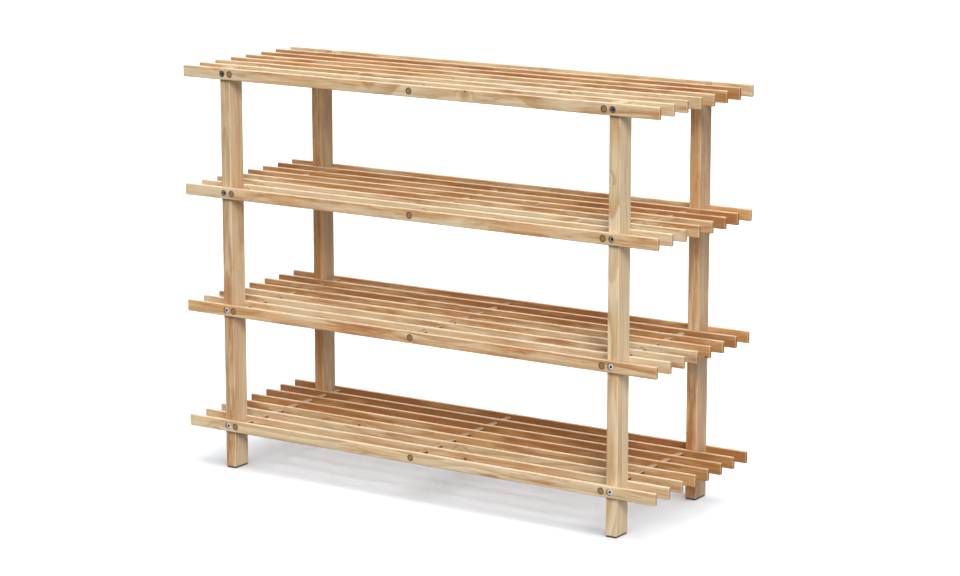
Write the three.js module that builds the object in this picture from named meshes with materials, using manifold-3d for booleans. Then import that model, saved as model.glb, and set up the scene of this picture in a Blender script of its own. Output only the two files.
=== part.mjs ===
// Free-standing shoe rack in pine: four slatted tiers carried by four posts.
//
// Each tier is eight slats set on edge and threaded on three round cross dowels. The posts stand
// in the gaps beside the outer slats, and one socket-head screw at each crossing pulls the outer
// slat against its post. Thin pads keep the posts' end grain off the floor.
//
// Millimetres, +Z up. +X runs along the slats, +Y from front to back. The origin is on the floor,
// under the middle of the rack.

import * as THREE from 'three';
import { mergeVertices } from 'three/addons/utils/BufferGeometryUtils.js';
import Module from 'manifold-3d';

// Whole rack
const LENGTH = 842;
const DEPTH = 280;
const HEIGHT = 632;
const CLEARANCE = 0.3; // between two pieces that fit together

// Tiers, counted from the floor
const TIERS = 4;
const TIER_PITCH = 184.6;

// Slats, counted from the front
const SLATS_PER_TIER = 8;
const SLAT_THICKNESS = 6;
const SLAT_HEIGHT = 18;
const SLAT_EDGE_RADIUS = 1.6;
const SLAT_PITCH = (DEPTH - SLAT_THICKNESS) / (SLATS_PER_TIER - 1);

// Posts, which fill the gap beside the outer slats
const POST_WIDTH = 18;
const POST_DEPTH = SLAT_PITCH - SLAT_THICKNESS - 2 * CLEARANCE;
const POST_INSET = 66.5; // from the slats' ends to the posts' outer sides
const POST_X = LENGTH / 2 - POST_INSET - POST_WIDTH / 2;
const POST_Y = (DEPTH - SLAT_THICKNESS - SLAT_PITCH) / 2;
const POST_EDGE_RADIUS = 1.2;

// Pads under the posts
const PAD_THICKNESS = 2;
const PAD_INSET = 0.8;
const PAD_CORNER_RADIUS = 1.5;

// Cross dowels: one against the inner side of each pair of posts, and one at mid-length
const DOWEL_RADIUS = 5;
const DOWEL_X = POST_X - POST_WIDTH / 2 - DOWEL_RADIUS - CLEARANCE;
const DOWELS = { left: -DOWEL_X, centre: 0, right: DOWEL_X };

// Socket-head screws, sunk in a counterbore in the outer slats
const HEAD_RADIUS = 4.8;
const HEAD_HEIGHT = 2.2;
const HEAD_SINK = 1.8; // from the slat's face to the top of the head
const SHANK_RADIUS = 3;
const SHANK_LENGTH = 26;
const TIP_LENGTH = 2;
const TIP_RADIUS = 1.8;
const SOCKET_RADIUS = 2.3; // hexagon, to its corners
const SOCKET_DEPTH = 1.5;

const ROUND_SEGMENTS = 12;
const HEXAGON = 6;

// The four places of a post: its sign along X and along Y
const CORNERS = {
  front_left: [-1, -1],
  front_right: [1, -1],
  rear_left: [-1, 1],
  rear_right: [1, 1],
};

const slatPine = new THREE.MeshStandardMaterial({ color: 0xd9b583, roughness: 0.62, metalness: 0 });
const postPine = new THREE.MeshStandardMaterial({ color: 0xe2c597, roughness: 0.62, metalness: 0 });
const dowelWood = new THREE.MeshStandardMaterial({ color: 0x9c7a52, roughness: 0.7, metalness: 0 });
const screwSteel = new THREE.MeshStandardMaterial({ color: 0xb9bec4, roughness: 0.3, metalness: 1 });
const padFelt = new THREE.MeshStandardMaterial({ color: 0x4b4442, roughness: 0.95, metalness: 0 });

const wasm = await Module();
wasm.setup();

// Closed geometry to solid, with its shared vertices merged
function toSolid(geometry) {
  const bare = geometry.clone();
  bare.deleteAttribute('normal');
  bare.deleteAttribute('uv');
  const merged = mergeVertices(bare);
  const mesh = new wasm.Mesh({
    numProp: 3,
    vertProperties: new Float32Array(merged.getAttribute('position').array),
    triVerts: new Uint32Array(merged.getIndex().array),
  });
  return new wasm.Manifold(mesh);
}

function toGeometry(solid) {
  const mesh = solid.getMesh();
  const geometry = new THREE.BufferGeometry();
  geometry.setAttribute('position', new THREE.BufferAttribute(mesh.vertProperties, 3));
  geometry.setIndex(new THREE.BufferAttribute(mesh.triVerts, 1));
  geometry.computeVertexNormals();
  return geometry;
}

// A geometry with each tool's shape taken out of it
function cut(blank, tools) {
  const body = tools.reduce((solid, tool) => solid.subtract(toSolid(tool)), toSolid(blank));
  return toGeometry(body);
}

function roundedRectangle(width, height, radius) {
  const x = width / 2 - radius;
  const y = height / 2 - radius;
  const outline = new THREE.Shape();
  outline.absarc(x, y, radius, 0, Math.PI / 2);
  outline.absarc(-x, y, radius, Math.PI / 2, Math.PI);
  outline.absarc(-x, -y, radius, Math.PI, 1.5 * Math.PI);
  outline.absarc(x, -y, radius, 1.5 * Math.PI, 2 * Math.PI);
  return outline;
}

// A bar of rounded section along Z, from z = 0 to its length
function bar(width, depth, length, edgeRadius) {
  return new THREE.ExtrudeGeometry(roundedRectangle(width, depth, edgeRadius), {
    depth: length,
    curveSegments: 1,
    bevelEnabled: false,
  });
}

// A round rod or drill along Y, from yStart to yEnd, at x and z
function rod(radius, yStart, yEnd, x = 0, z = 0) {
  const geometry = new THREE.CylinderGeometry(radius, radius, yEnd - yStart, ROUND_SEGMENTS);
  return geometry.translate(x, (yStart + yEnd) / 2, z);
}

// A slat centred on the origin, before its holes
function slatBlank() {
  const blank = bar(SLAT_HEIGHT, SLAT_THICKNESS, LENGTH, SLAT_EDGE_RADIUS);
  return blank.translate(0, 0, -LENGTH / 2).rotateY(Math.PI / 2);
}

function dowelBores() {
  const radius = DOWEL_RADIUS + CLEARANCE;
  return Object.values(DOWELS).map((x) => rod(radius, -SLAT_THICKNESS, SLAT_THICKNESS, x));
}

// Screw holes with counterbores in the -Y face
function screwBores() {
  const face = -SLAT_THICKNESS / 2;
  const seat = face + HEAD_SINK + HEAD_HEIGHT + CLEARANCE;
  return [-POST_X, POST_X].flatMap((x) => [
    rod(SHANK_RADIUS + CLEARANCE, -SLAT_THICKNESS, SLAT_THICKNESS, x),
    rod(HEAD_RADIUS + CLEARANCE, -SLAT_THICKNESS, seat, x),
  ]);
}

// A post centred in plan, standing on z = 0, with pilot holes in its -Y side
function postGeometry(length, holeHeights) {
  const radius = SHANK_RADIUS + CLEARANCE;
  const holeEnd = SHANK_LENGTH - POST_DEPTH / 2;
  const pilots = holeHeights.map((z) => rod(radius, -POST_DEPTH, holeEnd, 0, z));
  return cut(bar(POST_WIDTH, POST_DEPTH, length, POST_EDGE_RADIUS), pilots);
}

// A screw along Y, its head's top at y = 0 and facing -Y
function screwGeometry() {
  const shankEnd = HEAD_HEIGHT + SHANK_LENGTH - TIP_LENGTH;
  const tip = new THREE.CylinderGeometry(TIP_RADIUS, SHANK_RADIUS, TIP_LENGTH, ROUND_SEGMENTS);
  const socket = new THREE.CylinderGeometry(SOCKET_RADIUS, SOCKET_RADIUS, 2 * SOCKET_DEPTH, HEXAGON);
  const body = toSolid(rod(HEAD_RADIUS, 0, HEAD_HEIGHT))
    .add(toSolid(rod(SHANK_RADIUS, SOCKET_DEPTH, shankEnd)))
    .add(toSolid(tip.translate(0, shankEnd + TIP_LENGTH / 2, 0)))
    .subtract(toSolid(socket));
  return toGeometry(body);
}

function padGeometry() {
  const width = POST_WIDTH - 2 * PAD_INSET;
  const depth = POST_DEPTH - 2 * PAD_INSET;
  return bar(width, depth, PAD_THICKNESS, PAD_CORNER_RADIUS);
}

function piece(name, geometry, material, x, y, z) {
  const mesh = new THREE.Mesh(geometry, material);
  mesh.name = name;
  mesh.position.set(x, y, z);
  return mesh;
}

// Height of the middle of a tier's slats
function tierHeight(tier) {
  return HEIGHT - SLAT_HEIGHT / 2 - (TIERS - tier) * TIER_PITCH;
}

const innerSlat = cut(slatBlank(), dowelBores());
const outerSlat = cut(slatBlank(), [...dowelBores(), ...screwBores()]);
const dowel = rod(DOWEL_RADIUS, -DEPTH / 2, DEPTH / 2);
const screw = screwGeometry();
const pad = padGeometry();

// One tier's slats, dowels and front screws, with z = 0 at the middle of the slats
function makeTier(tier) {
  const group = new THREE.Group();
  group.position.z = tierHeight(tier);
  for (let slat = 1; slat <= SLATS_PER_TIER; slat += 1) {
    const outer = slat === 1 || slat === SLATS_PER_TIER;
    const y = (slat - 1) * SLAT_PITCH - (DEPTH - SLAT_THICKNESS) / 2;
    const mesh = piece(`tier_${tier}_slat_${slat}`, outer ? outerSlat : innerSlat, slatPine, 0, y, 0);
    mesh.rotation.z = slat === SLATS_PER_TIER ? Math.PI : 0;
    group.add(mesh);
  }
  for (const [place, x] of Object.entries(DOWELS)) {
    group.add(piece(`tier_${tier}_dowel_${place}`, dowel, dowelWood, x, 0, 0));
  }
  for (const place of ['front_left', 'front_right']) {
    const [sideX, sideY] = CORNERS[place];
    const y = sideY * (DEPTH / 2 - HEAD_SINK);
    group.add(piece(`tier_${tier}_screw_${place}`, screw, screwSteel, sideX * POST_X, y, 0));
  }
  return group;
}

// A post on its pad; the rear posts are turned so that their pilot holes face backwards
function makePost(place) {
  const [sideX, sideY] = CORNERS[place];
  const base = PAD_THICKNESS + CLEARANCE;
  const tiers = Array.from({ length: TIERS }, (_, index) => index + 1);
  const geometry = postGeometry(HEIGHT - base, tiers.map((tier) => tierHeight(tier) - base));
  const group = new THREE.Group();
  group.position.set(sideX * POST_X, sideY * POST_Y, 0);
  group.rotation.z = sideY > 0 ? Math.PI : 0;
  group.add(piece(`post_${place}`, geometry, postPine, 0, 0, base));
  group.add(piece(`foot_pad_${place}`, pad, padFelt, 0, 0, 0));
  return group;
}

const rack = new THREE.Group();
for (let tier = 1; tier <= TIERS; tier += 1) {
  rack.add(makeTier(tier));
}
for (const place of Object.keys(CORNERS)) {
  rack.add(makePost(place));
}

export default rack;
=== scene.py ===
"""The looks of the tiered pine shoe rack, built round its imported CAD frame. Metres, +Z up."""

import math
import random

import bmesh
import bpy
from mathutils import Matrix, Vector


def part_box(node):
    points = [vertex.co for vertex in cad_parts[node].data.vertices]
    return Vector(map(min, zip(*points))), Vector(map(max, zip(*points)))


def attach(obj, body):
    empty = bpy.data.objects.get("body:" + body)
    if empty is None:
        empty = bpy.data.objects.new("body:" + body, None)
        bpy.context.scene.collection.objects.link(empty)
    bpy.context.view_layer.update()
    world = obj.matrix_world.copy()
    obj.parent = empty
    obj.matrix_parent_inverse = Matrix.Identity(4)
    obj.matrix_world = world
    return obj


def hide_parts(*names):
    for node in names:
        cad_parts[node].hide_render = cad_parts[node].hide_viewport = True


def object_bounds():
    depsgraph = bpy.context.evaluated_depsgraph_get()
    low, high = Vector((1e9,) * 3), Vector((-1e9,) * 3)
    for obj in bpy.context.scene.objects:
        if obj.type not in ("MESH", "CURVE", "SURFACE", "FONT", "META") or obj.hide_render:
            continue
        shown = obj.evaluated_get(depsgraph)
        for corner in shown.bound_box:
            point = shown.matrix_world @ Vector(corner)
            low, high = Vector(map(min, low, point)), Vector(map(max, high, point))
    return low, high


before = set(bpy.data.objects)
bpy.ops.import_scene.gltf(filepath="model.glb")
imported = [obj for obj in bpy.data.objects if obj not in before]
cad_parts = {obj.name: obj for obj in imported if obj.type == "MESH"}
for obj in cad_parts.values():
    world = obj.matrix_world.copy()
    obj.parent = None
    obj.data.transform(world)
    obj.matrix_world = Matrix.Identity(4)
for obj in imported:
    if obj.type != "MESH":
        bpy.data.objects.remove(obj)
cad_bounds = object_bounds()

MM = 0.001
ROUND_STEPS = 48
HEXAGON = 6
SHARP_ANGLE = math.radians(40)

# The rack's pieces, as the frame's nodes name them
TIERS = (1, 2, 3, 4)  # from the floor
SLATS = (1, 2, 3, 4, 5, 6, 7, 8)  # from the front
DOWEL_PLACES = ("left", "centre", "right")
SCREW_SIDES = ("left", "right")
CORNERS = ("front_left", "front_right", "rear_left", "rear_right")

# Sizes that the finished surfaces add to the frame's boxes
CLEARANCE = 0.3 * MM
SLAT_ARRIS = 1.5 * MM
POST_ARRIS = 1.3 * MM
PAD_ARRIS = 0.5 * MM
ARRIS_STEPS = 5
DOWEL_CHAMFER = 0.45 * MM
HEAD_CHAMFER = 0.45 * MM
END_JITTER = 0.7 * MM
DOWEL_RECESS = (0.05, 0.7)  # mm, from a slat's face to the dowel's end

# The screws, as cut in the frame's slats
HEAD_HEIGHT = 2.2 * MM
HEAD_RADIUS = 4.8 * MM
SHANK_RADIUS = 3.0 * MM
SOCKET_RADIUS = 2.35 * MM
SOCKET_DEPTH = 1.5 * MM
HEAD_SINK = 1.8 * MM

# Their thread and point, with radii as shares of the shank's
THREAD_PITCH = 0.9 * MM
THREAD_CREST = 0.45 * MM
THREAD_CORE = 0.8
TIP_LENGTH = 2 * MM
TIP_START = 0.95
TIP_END = 0.55

RACK = bpy.data.collections.new("rack")
bpy.context.scene.collection.children.link(RACK)


# ---------------------------------------------------------------- camera

CAMERA_AZIMUTH = math.radians(33.1)
CAMERA_ELEVATION = math.radians(11.27)
CAMERA_DISTANCE = 4.338
CAMERA_LENS = 106.9
CAMERA_SHIFT = -0.031
CAMERA_REACH = 100
AIM_RIGHT = 0.028
AIM_UP = 0.034


def make_camera():
    """A long lens in front of the rack's right half, a little above it."""
    centre = (cad_bounds[0] + cad_bounds[1]) / 2
    back = Vector((
        math.sin(CAMERA_AZIMUTH) * math.cos(CAMERA_ELEVATION),
        -math.cos(CAMERA_AZIMUTH) * math.cos(CAMERA_ELEVATION),
        math.sin(CAMERA_ELEVATION),
    ))
    right = Vector((0, 0, 1)).cross(back).normalized()
    aim = centre + right * AIM_RIGHT + back.cross(right) * AIM_UP
    data = bpy.data.cameras.new("camera")
    data.lens = CAMERA_LENS
    data.shift_y = CAMERA_SHIFT
    data.clip_end = CAMERA_REACH
    camera = bpy.data.objects.new("camera", data)
    camera.location = aim + back * CAMERA_DISTANCE
    camera.rotation_mode = "QUATERNION"
    camera.rotation_quaternion = (-back).to_track_quat("-Z", "Y")
    bpy.context.scene.collection.objects.link(camera)
    bpy.context.scene.camera = camera


# ---------------------------------------------------------------- studio

SKY_STRENGTH = 0.55
# Light from the surroundings against the direction's height, from -1 straight down to 1 straight up
SKY_PROFILE = [(-1.0, 0.06), (-0.17, 0.06), (-0.04, 1.0), (0.12, 1.0), (0.32, 0.15), (1.0, 0.15)]

KEY_LIGHT = {"azimuth": 38, "elevation": 32, "energy": 2.95, "width": 30}
TOP_LIGHT = {"azimuth": 20, "elevation": 80, "energy": 1.5, "width": 40}
BACK_LIGHT = {"azimuth": 210, "elevation": 26, "energy": 2.2, "width": 50}
FLOOR_LIGHT = {"azimuth": 70, "elevation": 81, "energy": 4.6, "width": 65}

FLOOR_COLOUR = (0.90, 0.94, 0.98, 1)
FLOOR_ROUGHNESS = 0.9
NEAR_FLOOR = 1.8
FAR_FLOOR = 30
FLOOR_GAP = 0.2 * MM


def make_sky():
    """White surroundings: a bright low ring on all sides, dimmer overhead and underfoot."""
    world = bpy.data.worlds.new("studio")
    world.use_nodes = True
    tree = world.node_tree

    def link(output, node, socket):
        tree.links.new(output, node.inputs[socket])

    direction = tree.nodes.new("ShaderNodeTexCoord")
    split = tree.nodes.new("ShaderNodeSeparateXYZ")
    link(direction.outputs["Generated"], split, 0)
    position = tree.nodes.new("ShaderNodeMapRange")
    position.inputs["From Min"].default_value = -1
    link(split.outputs["Z"], position, "Value")
    profile = tree.nodes.new("ShaderNodeValToRGB")
    profile.color_ramp.interpolation = "EASE"
    stops = profile.color_ramp.elements
    stops.remove(stops[1])
    stops[0].position = 0
    stops[0].color = [SKY_PROFILE[0][1]] * 3 + [1]
    for height, light in SKY_PROFILE[1:]:
        stops.new((height + 1) / 2).color = [light] * 3 + [1]
    link(position.outputs["Result"], profile, 0)

    lighting = tree.nodes["Background"]
    lighting.inputs["Strength"].default_value = SKY_STRENGTH
    link(profile.outputs["Color"], lighting, "Color")
    backdrop = tree.nodes.new("ShaderNodeBackground")
    backdrop.inputs["Color"].default_value = (1, 1, 1, 1)
    seen = tree.nodes.new("ShaderNodeLightPath")
    choice = tree.nodes.new("ShaderNodeMixShader")
    link(seen.outputs["Is Camera Ray"], choice, 0)
    link(lighting.outputs[0], choice, 1)
    link(backdrop.outputs[0], choice, 2)
    link(choice.outputs[0], tree.nodes["World Output"], 0)
    bpy.context.scene.world = world


def make_lamp(name, azimuth, elevation, energy, width, receiver):
    """A wide, far lamp at a compass place round the rack, 0 being its front, lighting one collection."""
    lamp = bpy.data.lights.new(name, "SUN")
    lamp.energy = energy
    lamp.angle = math.radians(width)
    made = bpy.data.objects.new(name, lamp)
    made.rotation_euler = (math.radians(90 - elevation), 0, math.radians(azimuth))
    made.light_linking.receiver_collection = receiver
    bpy.context.scene.collection.objects.link(made)


def make_floor(receiver):
    """A white floor round the rack and, a hair lower, the floor beyond it, which no gloss shows."""
    graph = Graph("studio_floor")
    graph.shader.inputs["Base Color"].default_value = FLOOR_COLOUR
    graph.shader.inputs["Roughness"].default_value = FLOOR_ROUGHNESS
    graph.shader.inputs["Specular IOR Level"].default_value = 0.0
    for name, size, drop in (("near_floor", NEAR_FLOOR, 0), ("far_floor", FAR_FLOOR, FLOOR_GAP)):
        sheet = bmesh.new()
        bmesh.ops.create_grid(sheet, x_segments=1, y_segments=1, size=size)
        floor = bpy.data.objects.new(name, to_mesh(sheet, name, graph.material))
        floor.location.z = -drop
        floor.visible_diffuse = False
        floor.visible_glossy = name == "near_floor"
        bpy.context.scene.collection.objects.link(floor)
        receiver.objects.link(floor)


def make_studio():
    """The rack is lit from the front, the top and the back, and the floor by a lamp of its own."""
    bpy.context.scene.view_settings.view_transform = "Standard"
    make_sky()
    lit_floor = bpy.data.collections.new("lit_floor")
    make_floor(lit_floor)
    make_lamp("floor_light", receiver=lit_floor, **FLOOR_LIGHT)
    make_lamp("key_light", receiver=RACK, **KEY_LIGHT)
    make_lamp("top_light", receiver=RACK, **TOP_LIGHT)
    make_lamp("back_light", receiver=RACK, **BACK_LIGHT)


# ---------------------------------------------------------------- materials

# Sockets of a Mix node that mixes colours
MIX_FACTOR = 0
MIX_A = 6
MIX_B = 7
MIX_RESULT = 2

ACROSS = (0, 1, 1)  # leaves out the X axis


class Graph:
    """One material's node tree, with short calls for the nodes used here."""

    def __init__(self, name):
        self.material = bpy.data.materials.new(name)
        self.material.use_nodes = True
        self.tree = self.material.node_tree
        self.shader = self.tree.nodes["Principled BSDF"]

    def node(self, kind, inputs=(), **settings):
        made = self.tree.nodes.new("ShaderNode" + kind)
        for name, value in settings.items():
            setattr(made, name, value)
        for name, value in dict(inputs).items():
            self.feed(made.inputs[name], value)
        return made

    def feed(self, socket, value):
        if isinstance(value, bpy.types.NodeSocket):
            self.tree.links.new(value, socket)
        else:
            socket.default_value = value

    def math(self, operation, a, b=0.0):
        return self.node("Math", {0: a, 1: b}, operation=operation).outputs[0]

    def vector(self, operation, a, b=(0, 0, 0)):
        made = self.node("VectorMath", {0: a, 1: b}, operation=operation)
        return made.outputs["Value" if operation == "LENGTH" else "Vector"]

    def step(self, value, start, end, low=0.0, high=1.0):
        """low below start, high above end, and a smooth rise between them."""
        ends = {"Value": value, "From Min": start, "From Max": end, "To Min": low, "To Max": high}
        return self.node("MapRange", ends, interpolation_type="SMOOTHSTEP").outputs["Result"]

    def plus(self, value, other, share):
        """value and a share of the other."""
        return self.math("ADD", value, self.math("MULTIPLY", other, share))

    def xyz(self, vector):
        return self.node("SeparateXYZ", {"Vector": vector}).outputs

    def axis_distance(self, place):
        """How far a place is from the X axis."""
        return self.vector("LENGTH", self.vector("MULTIPLY", place, ACROSS))

    def mix(self, factor, a, b, blend="MIX"):
        made = self.node("Mix", data_type="RGBA", blend_type=blend)
        self.feed(made.inputs[MIX_FACTOR], factor)
        self.feed(made.inputs[MIX_A], a)
        self.feed(made.inputs[MIX_B], b)
        return made.outputs[MIX_RESULT]

    def noise(self, place, scales, detail=2.0, roughness=0.5, output="Fac"):
        """Noise in 0 to 1, stretched by a different scale along each axis."""
        stretched = self.vector("MULTIPLY", place, scales)
        ends = {"Vector": stretched, "Scale": 1.0, "Detail": detail, "Roughness": roughness}
        return self.node("TexNoise", ends).outputs[output]

    def piece_value(self, name, output="Fac"):
        """A number or vector that each piece carries as its own property."""
        return self.node("Attribute", attribute_type="OBJECT", attribute_name=name).outputs[output]

    def look(self, colour, roughness, height, bump_strength, bump_depth):
        """Feeds the shader its colour, its roughness and its bump."""
        bump = self.node("Bump", {"Strength": bump_strength, "Distance": bump_depth, "Height": height})
        self.feed(self.shader.inputs["Base Color"], colour)
        self.feed(self.shader.inputs["Roughness"], roughness)
        self.feed(self.shader.inputs["Normal"], bump.outputs["Normal"])


def rgb(red, green, blue):
    return (red, green, blue, 1.0)


PALE_EARLYWOOD = rgb(0.78, 0.62, 0.40)
WARM_EARLYWOOD = rgb(0.68, 0.345, 0.118)
PALE_LATEWOOD = rgb(0.54, 0.33, 0.14)
WARM_LATEWOOD = rgb(0.42, 0.185, 0.06)
HEARTWOOD = rgb(0.43, 0.165, 0.045)
KNOT = rgb(0.16, 0.055, 0.02)
# Pale rubbed wood, and the colour of the painted highlights on arrises and tops
RUBBED_AND_HIGHLIGHT = rgb(0.88, 0.70, 0.47)
END_GRAIN_TINT = rgb(0.82, 0.78, 0.72)

RING_WIDTH = 5.8 * MM
RING_BEND = 1.2  # rings, at a knot
PITH_WANDER = (0, 0.045, 0.045)
KNOT_CELLS = 11  # per metre
KNOTLESS = 0.82  # share of the cells
KNOT_SIZES = (0.8 * MM, 3.4 * MM)
KNOT_WOBBLE = 1.6 * MM
KNOT_HALO = (2 * MM, 20 * MM)

# Noises in the log, by their scales along and across the grain, per metre
WOBBLE_NOISE = (300, 300, 300)
DRIFT_NOISE = (3.2, 14, 14)
STREAK_NOISE = (6.0, 70, 70)
PATCH_NOISE = (7.0, 45, 45)
VEIN_NOISE = (14, 330, 330)
FIBRE_NOISE = (28, 1100, 1100)
PORE_NOISE = (45, 1700, 1700)


def knots(graph, place):
    """The knots and the halos round them, each in 0 to 1: branches along the piece's Y."""
    parts = graph.xyz(place)
    across = graph.node("CombineXYZ", {"X": parts["X"], "Y": parts["Z"]}).outputs[0]
    ends = {"Vector": across, "Scale": KNOT_CELLS, "Randomness": 1.0}
    cells = graph.node("TexVoronoi", ends, voronoi_dimensions="2D")
    reach = graph.math("DIVIDE", cells.outputs["Distance"], KNOT_CELLS)
    chance = graph.xyz(cells.outputs["Color"])["X"]
    present = graph.math("GREATER_THAN", chance, KNOTLESS)
    size = graph.math("ADD", graph.step(chance, 0.7, 1.0, *KNOT_SIZES), 0.5 * MM)
    wobbly = graph.plus(reach, graph.noise(place, WOBBLE_NOISE), KNOT_WOBBLE)
    shrunk = graph.math("MINIMUM", 1.0, graph.math("DIVIDE", wobbly, size))
    inside = graph.math("MULTIPLY", present, graph.math("SUBTRACT", 1.0, shrunk))
    halo = graph.math("MULTIPLY", present, graph.step(reach, *KNOT_HALO, 1.0, 0.0))
    return graph.step(inside, 0.0, 0.2), halo


def latewood(graph, place, halo):
    """The dark part of each year's ring, in 0 to 1, round a wandering pith and bent by the knots."""
    drift = graph.noise(place, DRIFT_NOISE, 1.0, output="Color")
    drift = graph.vector("MULTIPLY", graph.vector("SUBTRACT", drift, (0.5, 0.5, 0.5)), PITH_WANDER)
    from_pith = graph.axis_distance(graph.vector("ADD", place, drift))
    rings = graph.plus(graph.math("DIVIDE", from_pith, RING_WIDTH), halo, RING_BEND)
    season = graph.math("FRACT", rings)
    late = graph.math("MULTIPLY", graph.step(season, 0.25, 0.86), graph.step(season, 0.90, 1.0, 1.0, 0.0))
    ring_number = graph.node("CombineXYZ", {"X": graph.math("FLOOR", rings)}).outputs[0]
    year = graph.noise(ring_number, (7.3, 1, 1), 0.0)
    return graph.math("MULTIPLY", late, graph.step(year, 0.3, 0.7, 0.2, 1.0))


def pine(name, gloss=0.5):
    """Planed, clear-sealed pine with its grain along the piece's own X axis.

    Each piece carries "log_place", where its centre sits in the log, "tone", from pale sapwood
    at 0 to warm heartwood at 1, and "shade", its brightness against the usual. On the slats and
    dowels, tone and shade also hold painted shade: warmer and darker where the rack shades them.
    """
    graph = Graph(name)
    coordinates = graph.node("TexCoord")
    log_place = graph.piece_value("log_place", "Vector")
    place = graph.vector("ADD", coordinates.outputs["Object"], log_place)
    tone = graph.piece_value("tone")
    knot, halo = knots(graph, place)
    late = latewood(graph, place, halo)

    # Streaks, patches and fibres along the grain
    streak = graph.noise(place, STREAK_NOISE, 4.0, 0.55)
    patch = graph.noise(place, PATCH_NOISE, 4.0, 0.65)
    vein = graph.noise(place, VEIN_NOISE, 3.0, 0.6)
    fibre = graph.noise(place, FIBRE_NOISE, 3.0, 0.65)
    pores = graph.noise(place, PORE_NOISE, 1.0)

    local_tone = graph.plus(tone, graph.math("SUBTRACT", streak, 0.5), 2.1)
    warmth = graph.step(local_tone, 0.0, 1.0)
    early = graph.mix(warmth, PALE_EARLYWOOD, WARM_EARLYWOOD)
    dense = graph.mix(warmth, PALE_LATEWOOD, WARM_LATEWOOD)
    colour = graph.mix(graph.math("MULTIPLY", late, 0.85), early, dense)
    heart = graph.plus(patch, graph.math("SUBTRACT", tone, 0.5), 0.22)
    colour = graph.mix(graph.step(heart, 0.47, 0.66, 0.0, 0.85), colour, HEARTWOOD)
    vein_strength = graph.step(local_tone, -0.1, 0.9, 0.12, 0.75)
    veined = graph.math("MULTIPLY", graph.step(vein, 0.50, 0.68), vein_strength)
    colour = graph.mix(veined, colour, HEARTWOOD)
    colour = graph.mix(graph.math("MULTIPLY", halo, 0.30), colour, HEARTWOOD)
    colour = graph.mix(knot, colour, KNOT)
    fibre_light = graph.step(fibre, 0.25, 0.75, 0.82, 1.13)
    # Each piece's shade; on the slats and dowels it holds painted shade.
    fine = graph.math("MULTIPLY", fibre_light, graph.piece_value("shade"))
    colour = graph.mix(1.0, colour, fine, "MULTIPLY")
    colour = graph.mix(graph.step(pores, 0.70, 0.82, 0.0, 0.35), colour, KNOT)

    # Rubbed arrises with a painted highlight, paler faces along the piece's Z as a painted highlight,
    # and thirsty end grain, told apart by the surface's direction on the piece
    facing = graph.xyz(graph.vector("ABSOLUTE", coordinates.outputs["Normal"]))
    flat = graph.math("MAXIMUM", facing["Y"], facing["Z"])
    flat = graph.math("MAXIMUM", facing["X"], flat)
    wear_and_highlight = graph.step(flat, 0.75, 0.97, 1.0, 0.0)
    wear_and_highlight = graph.math("MULTIPLY", wear_and_highlight, graph.step(fibre, 0.3, 0.6, 0.35, 1.0))
    colour = graph.mix(graph.math("MULTIPLY", wear_and_highlight, 0.6), colour, RUBBED_AND_HIGHLIGHT)
    # Faces along the piece's own Z, the slats' tops and undersides, made paler: a painted highlight
    colour = graph.mix(graph.step(facing["Z"], 0.8, 1.0, 0.0, 0.3), colour, RUBBED_AND_HIGHLIGHT)
    end_grain = graph.step(facing["X"], 0.55, 0.9)
    colour = graph.mix(end_grain, colour, graph.mix(1.0, colour, END_GRAIN_TINT, "MULTIPLY"))

    rough = graph.plus(graph.step(fibre, 0.2, 0.8, 0.62, 0.48), end_grain, 0.25)
    rough = graph.plus(rough, wear_and_highlight, 0.08)
    graph.shader.inputs["Specular IOR Level"].default_value = gloss
    graph.look(colour, rough, graph.plus(fibre, late, 0.5), 0.35, 0.12 * MM)
    return graph.material


def bored_pine():
    """The raw, torn wall of a drilled hole."""
    graph = Graph("bored_pine")
    place = graph.node("TexCoord").outputs["Object"]
    torn = graph.noise(place, (500, 500, 900), 3.0, 0.7)
    colour = graph.mix(graph.step(torn, 0.3, 0.7), rgb(0.16, 0.075, 0.03), rgb(0.36, 0.20, 0.09))
    rough = graph.step(torn, 0.2, 0.8, 0.75, 0.95)
    graph.look(colour, rough, torn, 0.5, 0.2 * MM)
    return graph.material


def dowel_end(radius):
    """A dowel's sawn end: brown end grain, darker towards its rim."""
    sawn_dark = rgb(0.20, 0.11, 0.045)
    sawn_pale = rgb(0.40, 0.25, 0.12)
    ring_brown = rgb(0.20, 0.10, 0.04)
    dark_rim = rgb(0.095, 0.045, 0.018)
    fresh = rgb(0.55, 0.37, 0.2)
    ring_width = 1.3 * MM

    graph = Graph("dowel_end")
    coordinates = graph.node("TexCoord").outputs["Object"]
    shifted = graph.vector("ADD", coordinates, graph.piece_value("log_place", "Vector"))
    grain = graph.noise(shifted, (0, 900, 900), 3.0, 0.7)
    rings = graph.math("FRACT", graph.math("DIVIDE", graph.axis_distance(shifted), ring_width))
    colour = graph.mix(graph.step(grain, 0.3, 0.7), sawn_dark, sawn_pale)
    colour = graph.mix(graph.step(rings, 0.5, 0.95, 0.0, 0.5), colour, ring_brown)
    ragged = graph.plus(graph.axis_distance(coordinates), grain, 0.8 * MM)
    # Darker towards the rim
    colour = graph.mix(graph.step(ragged, radius * 0.72, radius * 1.05), colour, dark_rim)
    colour = graph.mix(graph.step(graph.piece_value("tone"), 0.0, 1.0, 0.35, 0.0), colour, fresh)
    rough = graph.step(grain, 0.2, 0.8, 0.65, 0.85)
    graph.look(colour, rough, grain, 0.5, 0.2 * MM)
    return graph.material


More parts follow.
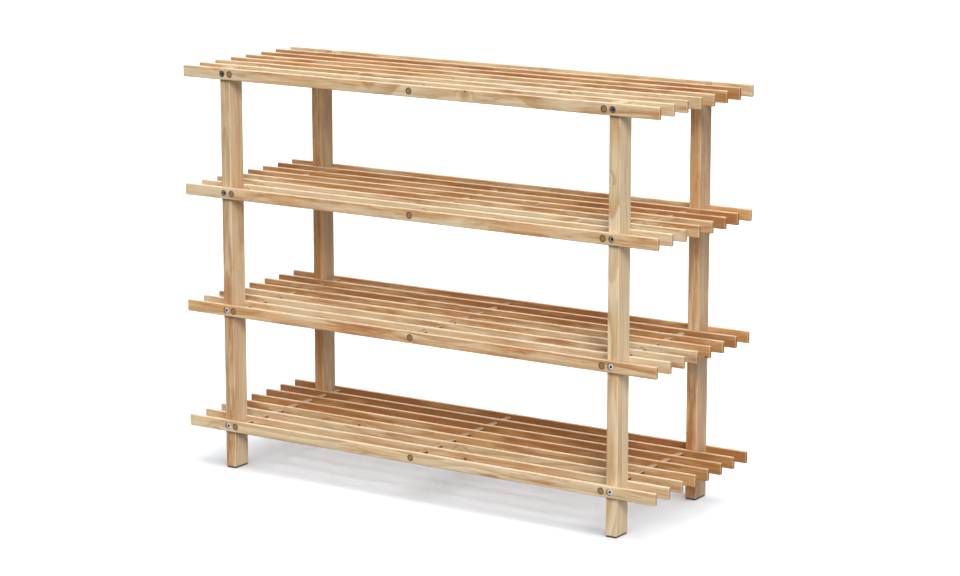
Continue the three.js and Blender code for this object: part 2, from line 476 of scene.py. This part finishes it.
def zinc_steel():
    """Bright zinc plating, with fine turning marks and a few dull spots."""
    turning_pitch = 0.22 * MM

    graph = Graph("zinc_steel")
    place = graph.node("TexCoord").outputs["Object"]
    turning = graph.math("FRACT", graph.math("DIVIDE", graph.axis_distance(place), turning_pitch))
    dull = graph.noise(place, (700, 700, 700), 3.0, 0.6)
    colour = graph.mix(graph.step(dull, 0.35, 0.75), rgb(0.52, 0.55, 0.60), rgb(0.30, 0.31, 0.33))
    rough = graph.step(dull, 0.3, 0.8, 0.15, 0.32)
    graph.shader.inputs["Metallic"].default_value = 1.0
    graph.look(colour, rough, graph.plus(turning, dull, 0.6), 0.12, 0.05 * MM)
    return graph.material


def socket_shade_and_grime():
    """The broached socket's dull inside, near black: painted shade in the socket, with greasy grime."""
    graph = Graph("socket_shade_and_grime")
    place = graph.node("TexCoord").outputs["Object"]
    grime_and_shade = graph.noise(place, (900, 900, 900), 3.0, 0.6)
    # Near black: painted shade in the socket, with grime
    colour = graph.mix(graph.step(grime_and_shade, 0.3, 0.7), rgb(0.012, 0.012, 0.014), rgb(0.05, 0.05, 0.055))
    rough = graph.step(grime_and_shade, 0.2, 0.8, 0.5, 0.8)
    graph.shader.inputs["Metallic"].default_value = 0.6
    graph.look(colour, rough, grime_and_shade, 0.4, 0.05 * MM)
    return graph.material


def dark_felt():
    """Pressed dark felt with pale stray fibres."""
    graph = Graph("dark_felt")
    place = graph.node("TexCoord").outputs["Object"]
    clump = graph.noise(place, (900, 900, 900), 4.0, 0.7)
    hair = graph.noise(place, (3500, 600, 1800), 2.0, 0.6)
    colour = graph.mix(graph.step(clump, 0.3, 0.7), rgb(0.045, 0.035, 0.04), rgb(0.10, 0.085, 0.09))
    colour = graph.mix(graph.step(hair, 0.66, 0.8, 0.0, 0.5), colour, rgb(0.28, 0.25, 0.24))
    rough = graph.step(hair, 0.3, 0.8, 0.98, 0.88)
    graph.shader.inputs["Sheen Weight"].default_value = 0.4
    graph.look(colour, rough, graph.plus(clump, hair, 0.7), 0.8, 0.3 * MM)
    return graph.material


# ---------------------------------------------------------------- shapes

def to_mesh(shape, name, *materials):
    """A finished bmesh as mesh data that carries these materials."""
    data = bpy.data.meshes.new(name)
    shape.to_mesh(data)
    shape.free()
    for material in materials:
        data.materials.append(material)
    return data


def rounded_box(size, arris):
    """A box centred on the origin, all its edges rounded over."""
    shape = bmesh.new()
    bmesh.ops.create_cube(shape, size=1)
    bmesh.ops.scale(shape, vec=size, verts=shape.verts)
    edges = shape.edges[:]
    bmesh.ops.bevel(shape, geom=edges, offset=arris, segments=ARRIS_STEPS, profile=0.5, affect="EDGES")
    return shape


def turned(profile, steps=ROUND_STEPS):
    """A closed solid turned about X, from (x, radius) points in rising x."""
    shape = bmesh.new()
    turns = [2 * math.pi * step / steps for step in range(steps)]
    rings = []
    for x, radius in profile:
        places = [(x, radius * math.cos(turn), radius * math.sin(turn)) for turn in turns]
        rings.append([shape.verts.new(place) for place in places])
    for near, far in zip(rings, rings[1:]):
        for step in range(steps):
            following = (step + 1) % steps
            shape.faces.new((near[step], near[following], far[following], far[step]))
    shape.faces.new(rings[0])
    shape.faces.new(rings[-1])
    bmesh.ops.recalc_face_normals(shape, faces=shape.faces)
    return shape


def cut(blank, tools):
    """Mesh data of a blank with the tools' shapes taken out, their materials on the cut walls."""
    scene = bpy.context.scene
    body = bpy.data.objects.new("blank", blank)
    scene.collection.objects.link(body)
    cutters = []
    for tool in tools:
        cutter = bpy.data.objects.new("tool", tool)
        scene.collection.objects.link(cutter)
        cutters.append(cutter)
        modifier = body.modifiers.new("cut", "BOOLEAN")
        modifier.operation = "DIFFERENCE"
        modifier.solver = "EXACT"
        modifier.material_mode = "TRANSFER"
        modifier.object = cutter
    evaluated = body.evaluated_get(bpy.context.evaluated_depsgraph_get())
    made = bpy.data.meshes.new_from_object(evaluated)
    for leftover in [body, *cutters]:
        bpy.data.objects.remove(leftover)
    return made


def drill(profile, wall, place, outward=Vector((0, -1, 0))):
    """A turned cutter whose +X end points along outward, as mesh data."""
    shape = turned(profile)
    turn = Vector((1, 0, 0)).rotation_difference(outward).to_matrix().to_4x4()
    bmesh.ops.transform(shape, matrix=Matrix.Translation(place) @ turn, verts=shape.verts)
    return to_mesh(shape, "drill", wall)


def add_piece(name, data, slot_name, matrix, replaced=(), **values):
    """Puts one finished piece in the rack, with smooth rounds and flat faces, riding on the root."""
    data.polygons.foreach_set("use_smooth", [True] * len(data.polygons))
    data.set_sharp_from_angle(angle=SHARP_ANGLE)
    piece = bpy.data.objects.new(name, data)
    piece.matrix_world = matrix
    for key, value in values.items():
        piece[key] = value
    RACK.objects.link(piece)
    weighted = piece.modifiers.new("flat_faces", "WEIGHTED_NORMAL")
    weighted.keep_sharp = True
    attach(piece, "root")
    if replaced:
        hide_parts(*replaced)


def centre_and_size(node):
    low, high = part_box(node)
    return (low + high) / 2, high - low


# ---------------------------------------------------------------- the rack's pieces

PITH_DISTANCE = (18, 60)  # mm, from a piece's centre
LOG_LENGTH = 40
TONE_SPREAD = 0.13

# Outer slats by tier; the inner ones grow warmer and darker to the back and low down, and so do the rear
# ones low down: painted shade of the slats in front and the tiers above.
FRONT_TONES = {4: 0.28, 3: 0.36, 2: 0.32, 1: 0.02}
FRONT_SHADE = 1.0
REAR_TONES_WITH_PAINTED_SHADE = {4: 0.10, 3: 0.38, 2: 0.70, 1: 1.10}
REAR_PAINTED_SHADES = {4: 1.0, 3: 1.0, 2: 0.95, 1: 0.85}
INNER_TONE = 0.10
PAINTED_WARMTH_PER_SLAT = 0.15
PAINTED_WARMTH_PER_TIER = 0.05
PAINTED_SHADE_PER_SLAT = 0.03
PAINTED_SHADE_PER_TIER = 0.02

POST_TONES = {"front_left": 0.25, "front_right": -0.1, "rear_left": 0.50, "rear_right": 0.45}
POST_SHADES = {"front_left": 0.92, "front_right": 1.08, "rear_left": 0.82, "rear_right": 0.88}
# The dowels' warm tone and low shade are painted shade of the gaps between the slats.
DOWEL_TONE_WITH_PAINTED_SHADE = 0.85
DOWEL_PAINTED_SHADE = 0.38
DOWEL_GLOSS = 0.05


def in_the_log(name, tone, shade, flat_sawn=False):
    """A piece's own place in the log, its tone and its shade, the same on each run."""
    chance = random.Random("pine " + name)
    turn = chance.choice((0, math.pi)) + chance.uniform(-0.45, 0.45)
    if not flat_sawn:
        turn += chance.uniform(-1.2, 1.2)
    pith = chance.uniform(*PITH_DISTANCE) * MM
    place = (chance.uniform(0, LOG_LENGTH), pith * math.cos(turn), pith * math.sin(turn))
    return {"log_place": place, "tone": tone + chance.uniform(-TONE_SPREAD, TONE_SPREAD), "shade": shade}


def slat_looks(tier, slat):
    """A slat's tone and shade, warmer and darker to the back and low down: painted shade."""
    if slat == SLATS[0]:
        return FRONT_TONES[tier], FRONT_SHADE
    if slat == SLATS[-1]:
        return REAR_TONES_WITH_PAINTED_SHADE[tier], REAR_PAINTED_SHADES[tier]
    behind = slat - SLATS[1]
    below = TIERS[-1] - tier
    # Painted shade: each slat further back and each tier lower is warmer and darker.
    tone = INNER_TONE + PAINTED_WARMTH_PER_SLAT * behind + PAINTED_WARMTH_PER_TIER * below
    return tone, 1.0 - PAINTED_SHADE_PER_SLAT * behind - PAINTED_SHADE_PER_TIER * below


def make_slat(tier, slat, wood, wall):
    node = f"tier_{tier}_slat_{slat}"
    centre, size = centre_and_size(node)
    chance = random.Random("ends " + node)
    stretch = chance.uniform(-END_JITTER, END_JITTER)
    shift = chance.uniform(-END_JITTER, END_JITTER) / 2
    blank = rounded_box((size.x + stretch, size.y, size.z), SLAT_ARRIS)
    bmesh.ops.translate(blank, vec=(shift, 0, 0), verts=blank.verts)
    tools = []
    for side in DOWEL_PLACES:
        dowel, dowel_size = centre_and_size(f"tier_{tier}_dowel_{side}")
        radius = dowel_size.x / 2 + CLEARANCE
        tools.append(drill([(-size.y, radius), (size.y, radius)], wall, (dowel.x - centre.x, 0, 0)))
    if slat in (SLATS[0], SLATS[-1]):
        outward = Vector((0, -1 if slat == SLATS[0] else 1, 0))
        seat = size.y / 2 - HEAD_SINK - HEAD_HEIGHT
        shank, head = SHANK_RADIUS + CLEARANCE, HEAD_RADIUS + CLEARANCE
        profile = [(-size.y, shank), (seat, shank), (seat, head), (size.y, head)]
        for side in SCREW_SIDES:
            screw, _ = centre_and_size(f"tier_{tier}_screw_front_{side}")
            tools.append(drill(profile, wall, (screw.x - centre.x, 0, 0), outward))
    data = cut(to_mesh(blank, node, wood), tools)
    matrix = Matrix.Translation(centre)
    looks = in_the_log(node, *slat_looks(tier, slat), flat_sawn=True)
    add_piece(node + "_fine", data, "slat_pine", matrix, [node], **looks)


def make_post(place, wood, wall):
    """A post's own X axis runs up it, so that its grain does too."""
    node = "post_" + place
    centre, size = centre_and_size(node)
    blank = rounded_box((size.z, size.y, size.x), POST_ARRIS)
    side = -1 if place.startswith("front") else 1
    outward = Vector((0, side, 0))
    radius = SHANK_RADIUS + CLEARANCE
    tools = []
    for tier in TIERS:
        screw, screw_size = centre_and_size(f"tier_{tier}_screw_front_left")
        reach = size.y / 2 - (screw_size.y - HEAD_HEIGHT - CLEARANCE)
        hole = [(reach, radius), (size.y, radius)]
        tools.append(drill(hole, wall, (screw.z - centre.z, 0, 0), outward))
    data = cut(to_mesh(blank, node, wood), tools)
    upright = Matrix.Rotation(-math.pi / 2, 4, "Y")
    matrix = Matrix.Translation(centre) @ upright
    looks = in_the_log(node, POST_TONES[place], POST_SHADES[place])
    add_piece(node + "_fine", data, "post_pine", matrix, [node], **looks)


def make_dowel(node, wood, sawn):
    """A dowel's own X axis runs from front to back."""
    centre, size = centre_and_size(node)
    chance = random.Random("dowel " + node)
    half, radius = size.y / 2, size.x / 2
    front = -half + chance.uniform(*DOWEL_RECESS) * MM
    back = half - chance.uniform(*DOWEL_RECESS) * MM
    rim = radius - DOWEL_CHAMFER
    profile = [(front, rim), (front + DOWEL_CHAMFER, radius), (back - DOWEL_CHAMFER, radius), (back, rim)]
    data = to_mesh(turned(profile), node, wood, sawn)
    for face in data.polygons:
        face.material_index = 1 if abs(face.normal.x) > 0.5 else 0
    matrix = Matrix.Translation(centre) @ Matrix.Rotation(math.pi / 2, 4, "Z")
    # Painted shade: warm and dark, as in the shaded gaps between the slats.
    looks = in_the_log(node, DOWEL_TONE_WITH_PAINTED_SHADE, DOWEL_PAINTED_SHADE)
    add_piece(node + "_fine", data, "dowel_wood", matrix, [node], **looks)


def screw_data(length, steel, inside):
    """A screw along X, its head's top at x = 0 and its point at x = length."""
    profile = [
        (0, HEAD_RADIUS - HEAD_CHAMFER),
        (HEAD_CHAMFER, HEAD_RADIUS),
        (HEAD_HEIGHT, HEAD_RADIUS),
        (HEAD_HEIGHT, SHANK_RADIUS),
    ]
    x = HEAD_HEIGHT + MM
    while x < length - TIP_LENGTH:
        profile += [(x, SHANK_RADIUS), (x + THREAD_CREST, SHANK_RADIUS * THREAD_CORE)]
        x += THREAD_PITCH
    profile += [(length - TIP_LENGTH, SHANK_RADIUS * TIP_START), (length, SHANK_RADIUS * TIP_END)]
    blank = to_mesh(turned(profile), "screw", steel)
    hexagon = turned([(-MM, SOCKET_RADIUS), (SOCKET_DEPTH, SOCKET_RADIUS)], HEXAGON)
    socket = to_mesh(hexagon, "socket", inside)
    return cut(blank, [socket])


def make_screw(tier, place, steel, inside):
    """Front screws stand for their CAD nodes; the rear ones mirror them."""
    side = place.split("_")[1]
    node = f"tier_{tier}_screw_front_{side}"
    centre, size = centre_and_size(node)
    front = place.startswith("front")
    chance = random.Random(f"screw {tier} {place}")
    data = screw_data(size.y, steel, inside)
    head = Vector((centre.x, centre.y - size.y / 2, centre.z))
    if not front:
        head.y = -head.y
    inward = Matrix.Rotation(math.pi / 2 if front else -math.pi / 2, 4, "Z")
    matrix = Matrix.Translation(head) @ inward @ Matrix.Rotation(chance.uniform(0, math.pi), 4, "X")
    replaced = [node] if front else []
    add_piece(f"tier_{tier}_screw_{place}_fine", data, "screw_steel", matrix, replaced)


def make_pad(place, felt):
    node = "foot_pad_" + place
    centre, size = centre_and_size(node)
    data = to_mesh(rounded_box(size, PAD_ARRIS), node, felt)
    add_piece(node + "_fine", data, "pad_felt", Matrix.Translation(centre), [node])


def make_rack():
    slat_wood = pine("slat_pine")
    post_wood = pine("post_pine")
    dowel_wood = pine("dowel_pine", DOWEL_GLOSS)
    wall = bored_pine()
    sawn = dowel_end(centre_and_size("tier_1_dowel_left")[1].x / 2)
    steel = zinc_steel()
    inside = socket_shade_and_grime()
    felt = dark_felt()
    for tier in TIERS:
        for slat in SLATS:
            make_slat(tier, slat, slat_wood, wall)
        for side in DOWEL_PLACES:
            make_dowel(f"tier_{tier}_dowel_{side}", dowel_wood, sawn)
        for place in CORNERS:
            make_screw(tier, place, steel, inside)
    for place in CORNERS:
        make_post(place, post_wood, wall)
        make_pad(place, felt)


make_camera()
make_studio()
make_rack()
